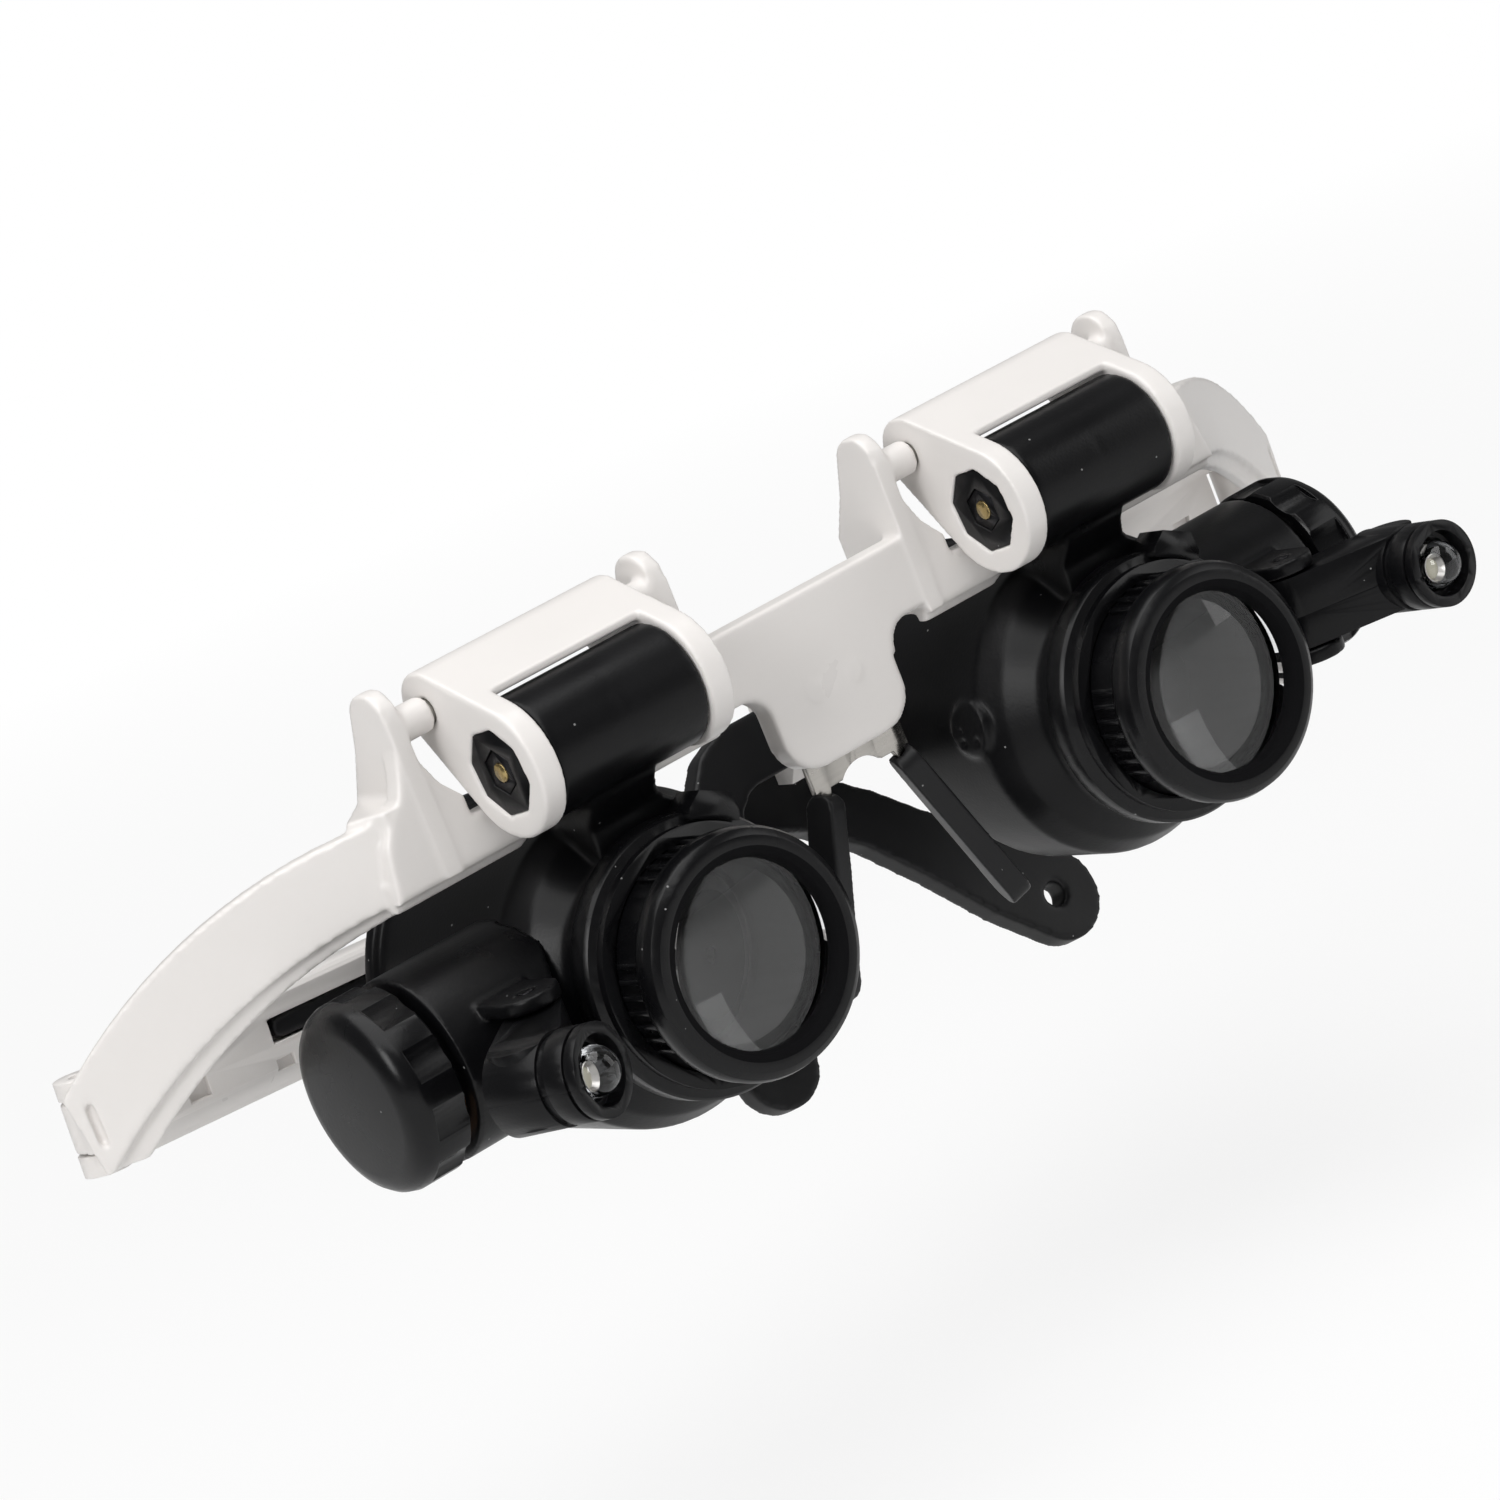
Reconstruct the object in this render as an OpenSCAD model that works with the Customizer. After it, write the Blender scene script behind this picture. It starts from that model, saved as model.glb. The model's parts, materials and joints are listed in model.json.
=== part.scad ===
// Spectacle-style double loupe magnifier with two lights, shown with its temples folded.
// X runs to the right seen from the front, Y to the back, Z up.
// The origin lies between the nose pads, at the height of the two barrel axes.

/* [Spacing] */
// Distance between the two barrel axes
unit_spacing = 64; // [62:0.5:66]
// Depth of the lens rims' front plane in front of the origin
rim_depth = 20; // [18:0.5:22]

/* [Lens cells] */
// Outer radius of the rounded front rim
rim_r = 12.4; // [12:0.1:13]
// Radius of the clear opening in the rim
opening_r = 9.3; // [8.5:0.1:9.6]
// Outer radius of the front tube
cell_r = 11.3; // [11.1:0.1:11.5]
// Number of grip ribs in each of the four groups
grip_ribs = 7; // [4:1:8]

/* [Barrels] */
// Outer radius of the barrel's rear part
barrel_r = 17; // [16.5:0.1:17.4]
// Length from the rim plane to the barrel's rear edge
barrel_len = 44.5; // [43:0.5:45.5]
// Outer radius of the bayonet lock ring
lock_r = 14.1; // [13.9:0.1:14.6]

/* [Hinges] */
// Radius of the cylinder that hangs in the bracket
drum_r = 6.5; // [6:0.1:6.8]
// Free width between the two ears of a bracket
bracket_gap = 18.6; // [18:0.1:19.4]
// Thickness of a bracket ear
ear_t = 2.8; // [2.4:0.1:3]
// Radius of the bracket pivot pins
pivot_pin_r = 1.25; // [1:0.05:1.5]
// Radius of the tilt screws
screw_r = 1; // [0.8:0.05:1.2]

/* [Lights] */
// Radius of the battery cap
cap_r = 10; // [9.6:0.1:10.3]
// Radius of a button cell
button_r = 5.8; // [5.7:0.05:5.9]
// Thickness of a button cell
button_t = 3; // [2.8:0.05:3.1]
// Radius of the light socket
socket_r = 4.6; // [4.4:0.1:4.9]
// Inward turn of each light on its arm
toe_in = 13; // [9:1:15]
// Swing of the left arm inwards from its middle
swing_in = 10.5; // [4:0.5:12]
// Swing of the right arm outwards from its middle
swing_out = 15; // [4:0.5:16]

/* [Temples] */
// Height of a temple sleeve
sleeve_h = 10.2; // [9.8:0.1:11]
// Thickness of a temple sleeve
sleeve_t = 4.4; // [4.2:0.1:4.6]
// Length of a temple sleeve
sleeve_len = 65.8; // [60:0.2:66]
// Height of the sliding bar
bar_h = 2.2; // [2:0.1:2.6]
// Droop of the folded left temple
left_droop = 4.6; // [3:0.1:5]

/* [Fits] */
// Radial play of a turning fit
run_fit = 0.05; // [0.03:0.01:0.08]
// Gap between faces that pass each other
pass_gap = 0.3; // [0.25:0.05:0.35]

/* [Hidden] */
$fn = 64;
eps = 0.01;

// Tilt axis of a barrel and pivot axis of a bracket, seen from the rim plane and the barrel axis
tilt_y = 12.1;
tilt_z = 25;
pivot_y = 20.4;
pivot_z = 32;
knuckle_r = 4;
ear_r = 6.9;
ear_in = bracket_gap / 2;
ear_out = ear_in + ear_t;
drum_half = ear_in - 0.15;
top_t = 2;

// Posts of the frame on both sides of each bracket
post_gap = 0.3;
post_in = ear_out + post_gap;
boss_len = 3.5;
boss_r = 1.85;
post_t = 2;
post_face = post_in + boss_len;
post_out = post_face + post_t;

// Barrel stations, measured back from the rim plane
shoulder_y = 14;
body_y = 20;
spigot_y = 9.3;
spigot_r = 12.7;
cell_bore_r = cell_r + run_fit;
chamber_r = 13.6;
rear_seat_y = 24.4;
rear_bore_r = 15;
flange_t = 2;

// Battery housing
house_y = 22.7;
house_z = 0.8;
house_r = 9.8;
house_face = 27.1;
cap_in = 28.3;
cap_out = 34.7;
neck_r = 7.6;
bay_r = button_r + 0.25;
bay_floor = 17.6;

// Light arm
arm_x = 19.9;
arm_y = 9.6;
arm_z = -0.3;
arm_hub_r = 2.9;
arm_pin_r = 0.8;
lug_t = 1.6;
lug_top = 4.2;
lug_low = -4;
led_x = 27.3;
led_y = -3.2;
socket_front = -1.6;
socket_back = 9;
led_r = 2.5;

// Frame
bridge_y = 18.6;
bridge_t = 3;
bridge_low = 17.8;
bridge_top = 25.3;
wall_t = 2.6;
wall_low = 16.8;
wall_top = 21.3;
arch_gap = 0.8;
lip_low = 15.8;
lip_back = 1.2;
bend_x = 48.5;
bend_r = 14;
arm_sweep = 40;
arm_t = 2.4;
arm_run = 35.2;
tab_t = 1.2;

// Temple hinge
knuckle_x = 80.6;
knuckle_y = 48.1;
knuckle_z = 6;
knuckle_round = 2.5;
hinge_pin_r = 0.8;
tongue_h = 5.2;
sleeve_start = 5.4;
sleeve_front = -2.4;
sleeve_end = sleeve_start + sleeve_len;
groove_start = 21;
groove_mid = 1;
groove_h = bar_h + 0.4;
groove_d = 2.2;
bar_t = 1.8;
tip_lean = 15;
tip_t = 3.2;

// Places a piece of the left (-1) or right (1) optical unit
module unit(side) {
    translate([side * unit_spacing / 2, -rim_depth, 0]) children();
}

// Mirrors a piece that is drawn for the right unit, so the battery lies on the outer side
module outer(side) {
    unit(side) mirror([side < 0 ? 1 : 0, 0, 0]) children();
}

// A turned solid whose profile is given as [radius, depth behind the rim plane]
module turned(points) {
    rotate([-90, 0, 0]) rotate_extrude() polygon(points);
}

module rod_x(r, x0, x1, y, z) {
    translate([x0, y, z]) rotate([0, 90, 0]) cylinder(r = r, h = x1 - x0);
}

module rod_y(r, y0, y1) {
    translate([0, y0, 0]) rotate([-90, 0, 0]) cylinder(r = r, h = y1 - y0);
}

// Turns a drawing of [depth, height] into a slab between x0 and x1
module side_slab(x0, x1) {
    translate([x0, 0, 0]) rotate([90, 0, 90]) linear_extrude(x1 - x0) children();
}

// Tangent band around two circles, drawn as [depth, height]
module link_2d(a, ra, b, rb) {
    d = b - a;
    l = norm(d);
    base = atan2(d[1], d[0]);
    turn = acos((ra - rb) / l);
    up = [cos(base + turn), sin(base + turn)];
    dn = [cos(base - turn), sin(base - turn)];
    translate(a) circle(ra);
    translate(b) circle(rb);
    polygon([a + ra * up, a + ra * dn, b + rb * dn, b + rb * up]);
}

module ear_2d() {
    link_2d([tilt_y, tilt_z], ear_r, [pivot_y, pivot_z], knuckle_r);
}

// Frame: bridge, walls, posts, swept side arms and hinge tongues in one moulding

// Outline of an arm in the plane of its straight part, from the bend's centre outwards
module side_arm_face_2d() {
    difference() {
        translate([-4.19, -34.83]) circle(59.66);
        translate([-10.94, -47.25]) circle(63.4);
        translate([-90, -110]) square([83.8, 220]);
        translate([-10, -110]) square([80, 111.5]);
        polygon([[arm_run - 1.3, 1], [arm_run, 10], [arm_run + 1, 17], [80, 17], [80, 1]]);
    }
}

// Plan of everything behind the outer face, with the bend between the wall and the swept arm
module arm_plan_2d(r, spare = 0) {
    translate([bend_x, bridge_y + bend_r]) {
        circle(r, $fn = 96);
        translate([-8 - spare, -r]) square([8 + spare, r + 30 + spare]);
        rotate(arm_sweep) translate([0, -r]) square([60 + spare, r + 30 + spare]);
    }
}

module arm_strip_2d(front, back) {
    difference() {
        arm_plan_2d(bend_r + front);
        arm_plan_2d(bend_r - back, 5);
    }
}

module along_arm() {
    translate([bend_x, bridge_y + bend_r, 0]) rotate([0, 0, arm_sweep]) children();
}

module side_arm() {
    difference() {
        intersection() {
            along_arm() rotate([90, 0, 0]) linear_extrude(20) side_arm_face_2d();
            translate([0, 0, -5]) linear_extrude(45) arm_strip_2d(0, arm_t);
        }
        intersection() {
            translate([0, 0, -5]) linear_extrude(45) arm_strip_2d(2, lip_back);
            along_arm() translate([-8.79, 5, -47.5]) rotate([90, 0, 0]) cylinder(r = 64.48, h = 25);
        }
        along_arm() translate([arm_run - 2.7, -bend_r - 1, 4.4]) cube([0.9, 4, 4.5]);
    }
}

// Tongue behind the end of the arm, between the two lugs of the temple
module hinge_tongue(droop) {
    temple_axis(droop) difference() {
        translate([-knuckle_x, -knuckle_y, -tongue_h / 2]) linear_extrude(tongue_h) {
            intersection() {
                translate([knuckle_x - knuckle_round, 36]) square([2 * knuckle_round - 0.2, knuckle_y - 36]);
                arm_plan_2d(bend_r - arm_t + 0.5);
            }
            translate([knuckle_x, knuckle_y]) circle(knuckle_round);
        }
        cylinder(r = hinge_pin_r + 0.02, h = 9, center = true);
    }
}

// Post beside a bracket, seen from the side: round top and a back edge that runs down to the arm
module post_2d() {
    translate([21.6, 33.2]) circle(3.1);
    polygon([
        [18.5, wall_low], [18.5, 33.2], [24.3, 34.7], [26.2, 30.8], [29.4, 26], [29.4, 22.5],
        [24, wall_low]
    ]);
}

// Front wall below a bracket, seen from the front, with its flanks rising to the two posts
module wall_2d() {
    polygon([
        [-post_out, wall_low], [23.8, wall_low], [23.4, 19.5], [22.8, 22.2], [21.9, 23.7], [19.9, 25.4],
        [19, 27.2], [18.5, 28.6], [post_out, 30.5], [post_out, 33], [post_face, 33], [post_face, 28.6],
        [14.6, 25.6], [12.7, 23.4], [12.7, wall_top], [-12.7, wall_top], [-12.7, 23.4], [-14.6, 25.6],
        [-post_face, 28.6], [-post_face, 33], [-post_out, 33]
    ]);
}

module frame_half(droop) {
    mid = unit_spacing / 2;
    side_arm();
    hinge_tongue(droop);
    for (x = [mid - post_out, mid + post_face]) {
        side_slab(x, x + post_t) post_2d();
    }
    rod_x(boss_r, mid + post_in, mid + post_face + 0.5, pivot_y, pivot_z);
    rod_x(boss_r, mid - post_face - 0.5, mid - post_in, pivot_y, pivot_z);
    translate([mid, bridge_y + wall_t, 0]) rotate([90, 0, 0]) {
        linear_extrude(wall_t) difference() {
            wall_2d();
            circle(barrel_r + arch_gap);
        }
        linear_extrude(wall_t - lip_back) difference() {
            translate([-post_out, lip_low]) square([post_out + 23.8, 3]);
            circle(barrel_r + arch_gap);
        }
    }
    translate([0, 0, wall_low]) linear_extrude(25.6 - wall_low) polygon([
        [mid + post_face, bridge_y + 0.2], [mid + 21.6, bridge_y + 0.2], [mid + 24, 22.4],
        [mid + post_out, 29.4], [mid + post_face, 29.4]
    ]);
}

module bridge_2d() {
    half = unit_spacing / 2 - post_out;
    difference() {
        union() {
            translate([-half - 1, bridge_low]) square([2 * half + 2, bridge_top - bridge_low]);
            translate([-11.3, 15]) square([22.6, 5]);
            translate([-8.5, 12.1]) square([16.5, 5]);
            translate([-4.5, 8.1]) square([8.5, 5]);
            translate([-4.5, 12.1]) circle(4);
            translate([4, 12.1]) circle(4);
        }
        translate([-11.3, 15]) circle(2.8);
        translate([11.3, 15]) circle(2.8);
    }
}

module bridge() {
    translate([0, bridge_y + bridge_t, 0]) rotate([90, 0, 0]) linear_extrude(bridge_t) bridge_2d();
}

module frame_front() {
    color("whitesmoke") translate([0, -rim_depth, 0]) difference() {
        union() {
            frame_half(0);
            mirror([1, 0, 0]) frame_half(left_droop);
            bridge();
        }
        for (side = [-1, 1]) {
            mid = side * unit_spacing / 2;
            rod_x(pivot_pin_r + 0.02, mid - post_in - 3.2, mid + post_in + 3.2, pivot_y, pivot_z);
        }
        for (x = [-2.6, 2.6]) {
            translate([x, clip_y, 15.4]) rotate([90, 0, 0]) cylinder(r = 0.7, h = tab_t + 1);
        }
        translate([-6.6, clip_y, 5]) cube([13.2, bridge_t, 12.9]);
    }
}

// Sheet metal clip screwed behind the tab, with one prong for each nose pad
clip_y = bridge_y + tab_t;
clip_t = 0.8;
prong_x = 5;
prong_top = 5.7;

module nose_clip() {
    color("silver") translate([0, clip_y + clip_t - rim_depth, 0]) rotate([90, 0, 0]) {
        linear_extrude(clip_t) difference() {
            union() {
                translate([-6.4, 8]) square([12.8, 9.6]);
                translate([-6.4, prong_top]) square([12.8, 3]);
                for (side = [-1, 1]) {
                    translate([side * prong_x, prong_top]) rotate(side * pad_splay) translate([-0.6, -1.9]) {
                        square([1.2, 3]);
                    }
                }
            }
            translate([0, 3.2]) circle(3.7);
            for (x = [-2.6, 2.6]) {
                translate([x, 15.4]) circle(0.75);
            }
        }
    }
}

module nose_clip_screws() {
    color("silver") translate([0, clip_y - rim_depth, 15.4]) {
        for (x = [-2.6, 2.6]) {
            translate([x, 0, 0]) rotate([90, 0, 0]) cylinder(r = 0.7, h = 1.8);
            translate([x, clip_t + 0.8, 0]) rotate([90, 0, 0]) cylinder(r = 1.4, h = 0.8);
            translate([x, clip_t + 0.1, 0]) rotate([90, 0, 0]) cylinder(r = 0.7, h = clip_t + 0.2);
        }
    }
}

pad_splay = 21;

module nose_pad_2d() {
    link_2d([0, -2.1], 1.7, [0, -19.6], 2);
}

// Soft pad pushed on to a prong of the clip
module nose_pad(side) {
    color([0.1, 0.1, 0.1]) translate([side * prong_x, clip_y + clip_t / 2 - rim_depth, prong_top]) {
        rotate([0, -side * pad_splay, 0]) difference() {
            rotate([90, 0, side * 72]) translate([0, 0, -1.3]) linear_extrude(2.6) nose_pad_2d();
            translate([-0.65, -clip_t / 2 - 0.03, -2]) cube([1.3, clip_t + 0.06, 12]);
        }
    }
}

// Temples: sleeve, hinge pin and the ear tip that slides in the sleeve

module temple_axis(droop) {
    translate([knuckle_x, knuckle_y, knuckle_z]) rotate([0, -droop, 0]) children();
}

// Draws a folded temple from its hinge towards the middle
module temple(side, droop, swing) {
    translate([0, -rim_depth, 0]) mirror([side < 0 ? 1 : 0, 0, 0]) temple_axis(droop) {
        rotate([0, 0, -swing]) mirror([1, 0, 0]) children();
    }
}

right_swing = 0;
left_swing = 3.6;

// Section of a sleeve in depth and height, with a long chamfer along its lower front edge
module sleeve_2d() {
    polygon([
        [sleeve_front, -sleeve_h / 2 + 2.4], [sleeve_front, sleeve_h / 2 - 1],
        [sleeve_front + 0.6, sleeve_h / 2 - 0.3], [sleeve_front + sleeve_t, sleeve_h / 2 - 0.3],
        [sleeve_front + sleeve_t, -sleeve_h / 2], [-0.7, -sleeve_h / 2]
    ]);
}

module sleeve_lug(z0, z1) {
    translate([0, 0, z0]) linear_extrude(z1 - z0) {
        circle(knuckle_round);
    }
    intersection() {
        rotate([90, 0, 90]) linear_extrude(sleeve_start + 1) sleeve_2d();
        translate([0, -5, z0]) cube([sleeve_start + 1, 10, z1 - z0]);
    }
}

module sleeve_body() {
    difference() {
        union() {
            sleeve_lug(-sleeve_h / 2, -tongue_h / 2 - pass_gap);
            sleeve_lug(tongue_h / 2 + pass_gap, sleeve_h / 2 - 0.3);
            translate([sleeve_start, 0, 0]) rotate([90, 0, 90]) linear_extrude(sleeve_len) sleeve_2d();
        }
        cylinder(r = hinge_pin_r + run_fit, h = 12, center = true);
        translate([groove_start, sleeve_front - eps, groove_mid - groove_h / 2]) {
            cube([90, groove_d, groove_h]);
        }
        translate([9.8, sleeve_front - eps, -2.2]) cube([2.6, 0.8, 2]);
        translate([20.6, sleeve_front - eps, -3]) cube([2.2, 0.6, 1.2]);
    }
}

module temple_sleeve_left() {
    color("whitesmoke") temple(-1, left_droop, left_swing) sleeve_body();
}

module temple_sleeve_right() {
    color("whitesmoke") temple(1, 0, right_swing) sleeve_body();
}

module hinge_pin(side, droop) {
    translate([0, -rim_depth, 0]) mirror([side < 0 ? 1 : 0, 0, 0]) temple_axis(droop) {
        cylinder(r = hinge_pin_r, h = 8.4, center = true);
    }
}

module temple_hinge_pins() {
    color("silver") hinge_pin(-1, left_droop);
    color("silver") hinge_pin(1, 0);
}

bar_y = sleeve_front + (groove_d - bar_t) / 2;
tip_y = bar_y + bar_t / 2;

// Outline of a tip from stations given as [distance along the temple, height, half width]
module tip_2d(path) {
    translate([sleeve_end + 0.4, path[0][1] - path[0][2]]) {
        square([path[0][0] - sleeve_end, 2 * path[0][2]]);
    }
    for (i = [0 : len(path) - 2]) {
        a = path[i];
        b = path[i + 1];
        link_2d([a[0], a[1]], a[2], [b[0], b[1]], b[2]);
    }
}

// Sliding bar with the flat curved tip, which leans forward and ends in a strap hole
module ear_tip(path, hole) {
    color([0.1, 0.1, 0.1]) {
        translate([groove_start + 0.6 + bar_h / 2, bar_y, groove_mid]) {
            rotate([-90, 0, 0]) cylinder(r = bar_h / 2, h = bar_t);
            translate([0, 0, -bar_h / 2]) cube([sleeve_end + 3 - groove_start, bar_t, bar_h]);
        }
        translate([0, tip_y, 0]) rotate([90 - tip_lean, 0, 0]) difference() {
            translate([0, 0, -tip_t / 2]) linear_extrude(tip_t) tip_2d(path);
            translate([hole[0], hole[1], -tip_t]) cylinder(r = strap_hole_r, h = 2 * tip_t);
        }
    }
}

strap_hole_r = 1.4;
left_path = [
    [87.7, 0.6, 3.3], [93.5, -1.4, 3.3], [100.2, -6, 3.3], [106.4, -11.8, 3.7], [113.2, -18.2, 4.6],
    [118.9, -22.6, 5.2]
];
right_path = [
    [77.2, 0.5, 3.5], [79.8, -0.3, 3.3], [82.4, -2.7, 3], [84.9, -7, 2.9], [87.9, -15, 3.1],
    [90.2, -23, 3.8], [91.9, -29.8, 4.6]
];

module ear_tip_left() {
    temple(-1, left_droop, left_swing) ear_tip(left_path, [118.2, -22.2]);
}

module ear_tip_right() {
    temple(1, 0, right_swing) ear_tip(right_path, [91.8, -29.4]);
}

// Brackets: two ears and a top plate, hinged on the frame's posts by two short pins

module bracket(side) {
    color("whitesmoke") unit(side) difference() {
        union() {
            side_slab(-ear_out, -ear_in) ear_2d();
            side_slab(ear_in, ear_out) ear_2d();
            side_slab(-ear_in - 0.5, ear_in + 0.5) difference() {
                ear_2d();
                circle_at([tilt_y, tilt_z], drum_r + pass_gap);
                polygon([
                    [tilt_y - 12, tilt_z - 12], [tilt_y - 12, tilt_z + 9], [tilt_y + 0.2, tilt_z + 9],
                    [tilt_y + 0.2, tilt_z + 6.7], [pivot_y, pivot_z + knuckle_r - top_t],
                    [pivot_y + 2.6, pivot_z + 1], [pivot_y + 8, pivot_z - 12]
                ]);
            }
        }
        for (s = [-1, 1]) {
            rod_x(pivot_pin_r + run_fit, s < 0 ? -ear_out - 1 : ear_in - 1, s < 0 ? -ear_in + 1 : ear_out + 1,
                pivot_y, pivot_z);
        }
        translate([-ear_out - 1, tilt_y, tilt_z]) rotate([octagon_turn, 0, 0]) rotate([0, 90, 0]) {
            cylinder(r = octagon_r, h = ear_t + 2, $fn = 8);
        }
        rod_x(screw_r + 0.1, ear_in - 1, ear_out + 1, tilt_y, tilt_z);
        rod_x(2.1, ear_out - 1.3, ear_out + 1, tilt_y, tilt_z);
    }
}

module circle_at(p, r) {
    translate(p) circle(r);
}

octagon_r = 4.6;
octagon_turn = 15.4;
nut_r = 2.3;

module bracket_pins(side) {
    unit(side) {
        rod_x(pivot_pin_r, -post_in - 3, -ear_in - 0.3, pivot_y, pivot_z);
        rod_x(pivot_pin_r, ear_in + 0.3, post_in + 3, pivot_y, pivot_z);
    }
}

module bracket_pivot_pins() {
    color("silver") bracket_pins(-1);
    color("silver") bracket_pins(1);
}

// Octagonal insert in one ear, with a hexagonal pocket that keeps the nut from turning
module nut_holder(side) {
    color([0.12, 0.12, 0.12]) unit(side) difference() {
        translate([-ear_out + 0.2, tilt_y, tilt_z]) rotate([octagon_turn, 0, 0]) rotate([0, 90, 0]) {
            cylinder(r = octagon_r - 0.03, h = ear_t - 0.3, $fn = 8);
        }
        rod_x(screw_r + 0.1, -ear_out - 1, -ear_in + 1, tilt_y, tilt_z);
        translate([-ear_out, tilt_y, tilt_z]) rotate([0, 90, 0]) cylinder(r = nut_r + 0.1, h = 1.5, $fn = 6);
    }
}

module tilt_nut(side) {
    color("silver") unit(side) difference() {
        translate([-ear_out + 0.3, tilt_y, tilt_z]) rotate([0, 90, 0]) cylinder(r = nut_r, h = 1.2, $fn = 6);
        rod_x(screw_r, -ear_out - 1, -ear_in, tilt_y, tilt_z);
    }
}

module tilt_screw(side) {
    color("silver") unit(side) difference() {
        union() {
            rod_x(screw_r, -ear_out + 0.2, ear_out - 1.2, tilt_y, tilt_z);
            rod_x(1.9, ear_out - 1.25, ear_out - 0.1, tilt_y, tilt_z);
        }
        translate([ear_out - 0.6, tilt_y - 0.3, tilt_z - 3]) cube([1, 0.6, 6]);
        translate([ear_out - 0.6, tilt_y - 3, tilt_z - 0.3]) cube([1, 6, 0.6]);
    }
}

// Barrel: hinge drum, neck, spigot, shoulder and wide rear part

module neck() {
    difference() {
        translate([-5, 0, 0]) rotate([90, 0, 90]) linear_extrude(12) polygon([
            [8.8, 21], [9.6, 18.4], [12.2, 15.6], [12.4, 11.6], [20, 11.6], [20, 16.4], [17.8, 17.2],
            [16.6, 19.4], [15.6, 21.4]
        ]);
        translate([8.4, 0, 19.4]) rod_y(5.6, 0, 30);
    }
}

module barrel_shell() {
    turned([
        [cell_bore_r, 9.45], [spigot_r, 9.45], [spigot_r, 10.2], [spigot_r - 0.4, 10.4], [spigot_r - 0.4, 11.2],
        [spigot_r, 11.4], [spigot_r, 12.2], [13.2, 12.2], [13.2, shoulder_y], [15.6, 17], [barrel_r, body_y],
        [barrel_r, barrel_len - flange_t], [barrel_r + 0.7, barrel_len - flange_t],
        [barrel_r + 1, barrel_len - flange_t + 0.4], [barrel_r + 1, barrel_len - 0.5],
        [barrel_r + 0.6, barrel_len], [rear_bore_r, barrel_len], [rear_bore_r, rear_seat_y],
        [chamber_r, rear_seat_y], [chamber_r, 18.5], [cell_bore_r, 18.5]
    ]);
}

// Slanting rear end: long on the brow's outer side, short below and beside the nose
shield_y = 38.3;
shield_pitch = 21.7;
shield_yaw = 16.7;

module barrel_body(side) {
    color([0.12, 0.12, 0.12]) unit(side) difference() {
        union() {
            barrel_shell();
            rod_x(drum_r, -drum_half, drum_half, tilt_y, tilt_z);
            difference() {
                neck();
                rod_y(cell_bore_r + 0.6, 0, 18);
                rod_y(chamber_r + 0.6, 17, 30);
            }
            mirror([side > 0 ? 1 : 0, 0, 0]) thumb_boss();
        }
        mirror([side < 0 ? 1 : 0, 0, 0]) translate([0, shield_y, 0]) rotate([-shield_pitch, 0, shield_yaw]) {
            translate([-40, 0, -40]) cube([80, 40, 80]);
        }
        rod_x(screw_r + run_fit, -drum_half - 1, drum_half + 1, tilt_y, tilt_z);
        translate([0, tilt_y, tilt_z]) rotate([0, 90, 0]) difference() {
            cylinder(r = drum_r + 1, h = 0.2, center = true);
            cylinder(r = drum_r - 0.15, h = 1, center = true);
        }
    }
}

// Low round boss on the nose side of a barrel, with nine dimples
module thumb_boss() {
    difference() {
        intersection() {
            rod_x(2.9, 15, barrel_r + 1, body_y + 1.4, 3.3);
            rod_y(barrel_r + 0.5, 14, 30);
        }
        for (y = [-1.2, 0, 1.2]) {
            for (z = [-1.2, 0, 1.2]) {
                rod_x(0.3, barrel_r - 0.3, 19, body_y + 1.4 + y, 3.3 + z);
            }
        }
    }
}

// Bayonet ring with one thumb tab at the top
tab_angle = 64;

module lock_ring(side) {
    color([0.1, 0.1, 0.1]) unit(side) {
        turned([
            [cell_r + 0.2, 7.7], [lock_r - 1.1, 7.7], [lock_r - 1.1, 8.7], [lock_r - 0.3, 9], [lock_r, 9.4],
            [lock_r, 11.6], [spigot_r + run_fit, 11.6], [spigot_r + run_fit, 11], [spigot_r - 0.3, 10.9],
            [spigot_r - 0.3, 10.6], [spigot_r + run_fit, 10.4], [spigot_r + run_fit, 9.3], [cell_r + 0.2, 9.3]
        ]);
        rotate([0, -tab_angle, 0]) translate([0, 11.6, 0]) rotate([90, 0, 0]) linear_extrude(3.9) polygon([
            [lock_r - 1, -2.9], [lock_r, -2.9], [lock_r + 1.8, -1.8], [lock_r + 1.8, 1.8], [lock_r, 2.9],
            [lock_r - 1, 2.9]
        ]);
    }
}

// Lens cell: rounded rim, ribbed grip and the tube that slides into the barrel
module lens_cell(side) {
    color([0.1, 0.1, 0.1]) unit(side) {
        turned([
            [opening_r, 0.9], [opening_r + 0.3, 0.3], [rim_r - 2, 0], [rim_r - 1, 0.1], [rim_r - 0.3, 0.6],
            [rim_r, 1.4], [rim_r - 0.06, 2.8], [rim_r - 0.4, 3.5], [cell_r, 3.8], [cell_r, 18],
            [cell_r - 1.1, 18], [cell_r - 1.1, 2], [opening_r, 2]
        ]);
        for (group = [3, 93, 183, 273]) {
            for (i = [0 : grip_ribs - 1]) {
                rotate([0, -group - (i - (grip_ribs - 1) / 2) * 7.7, 0]) {
                    translate([cell_r - 0.3, 3.7, -0.25]) cube([0.8, 3.4, 0.5]);
                }
            }
        }
    }
}

module biconvex(r, y0, t, bulge) {
    ball = (r * r + bulge * bulge) / (2 * bulge);
    rotate([-90, 0, 0]) rotate_extrude() intersection() {
        translate([0, y0]) square([r, t]);
        translate([0, y0 + ball]) circle(ball, $fn = 720);
        translate([0, y0 + t - ball]) circle(ball, $fn = 720);
    }
}

module front_lens(side) {
    color([0.8, 0.9, 1, 0.5]) unit(side) biconvex(cell_r - 1.15, 2, 3.6, 1);
}

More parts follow.
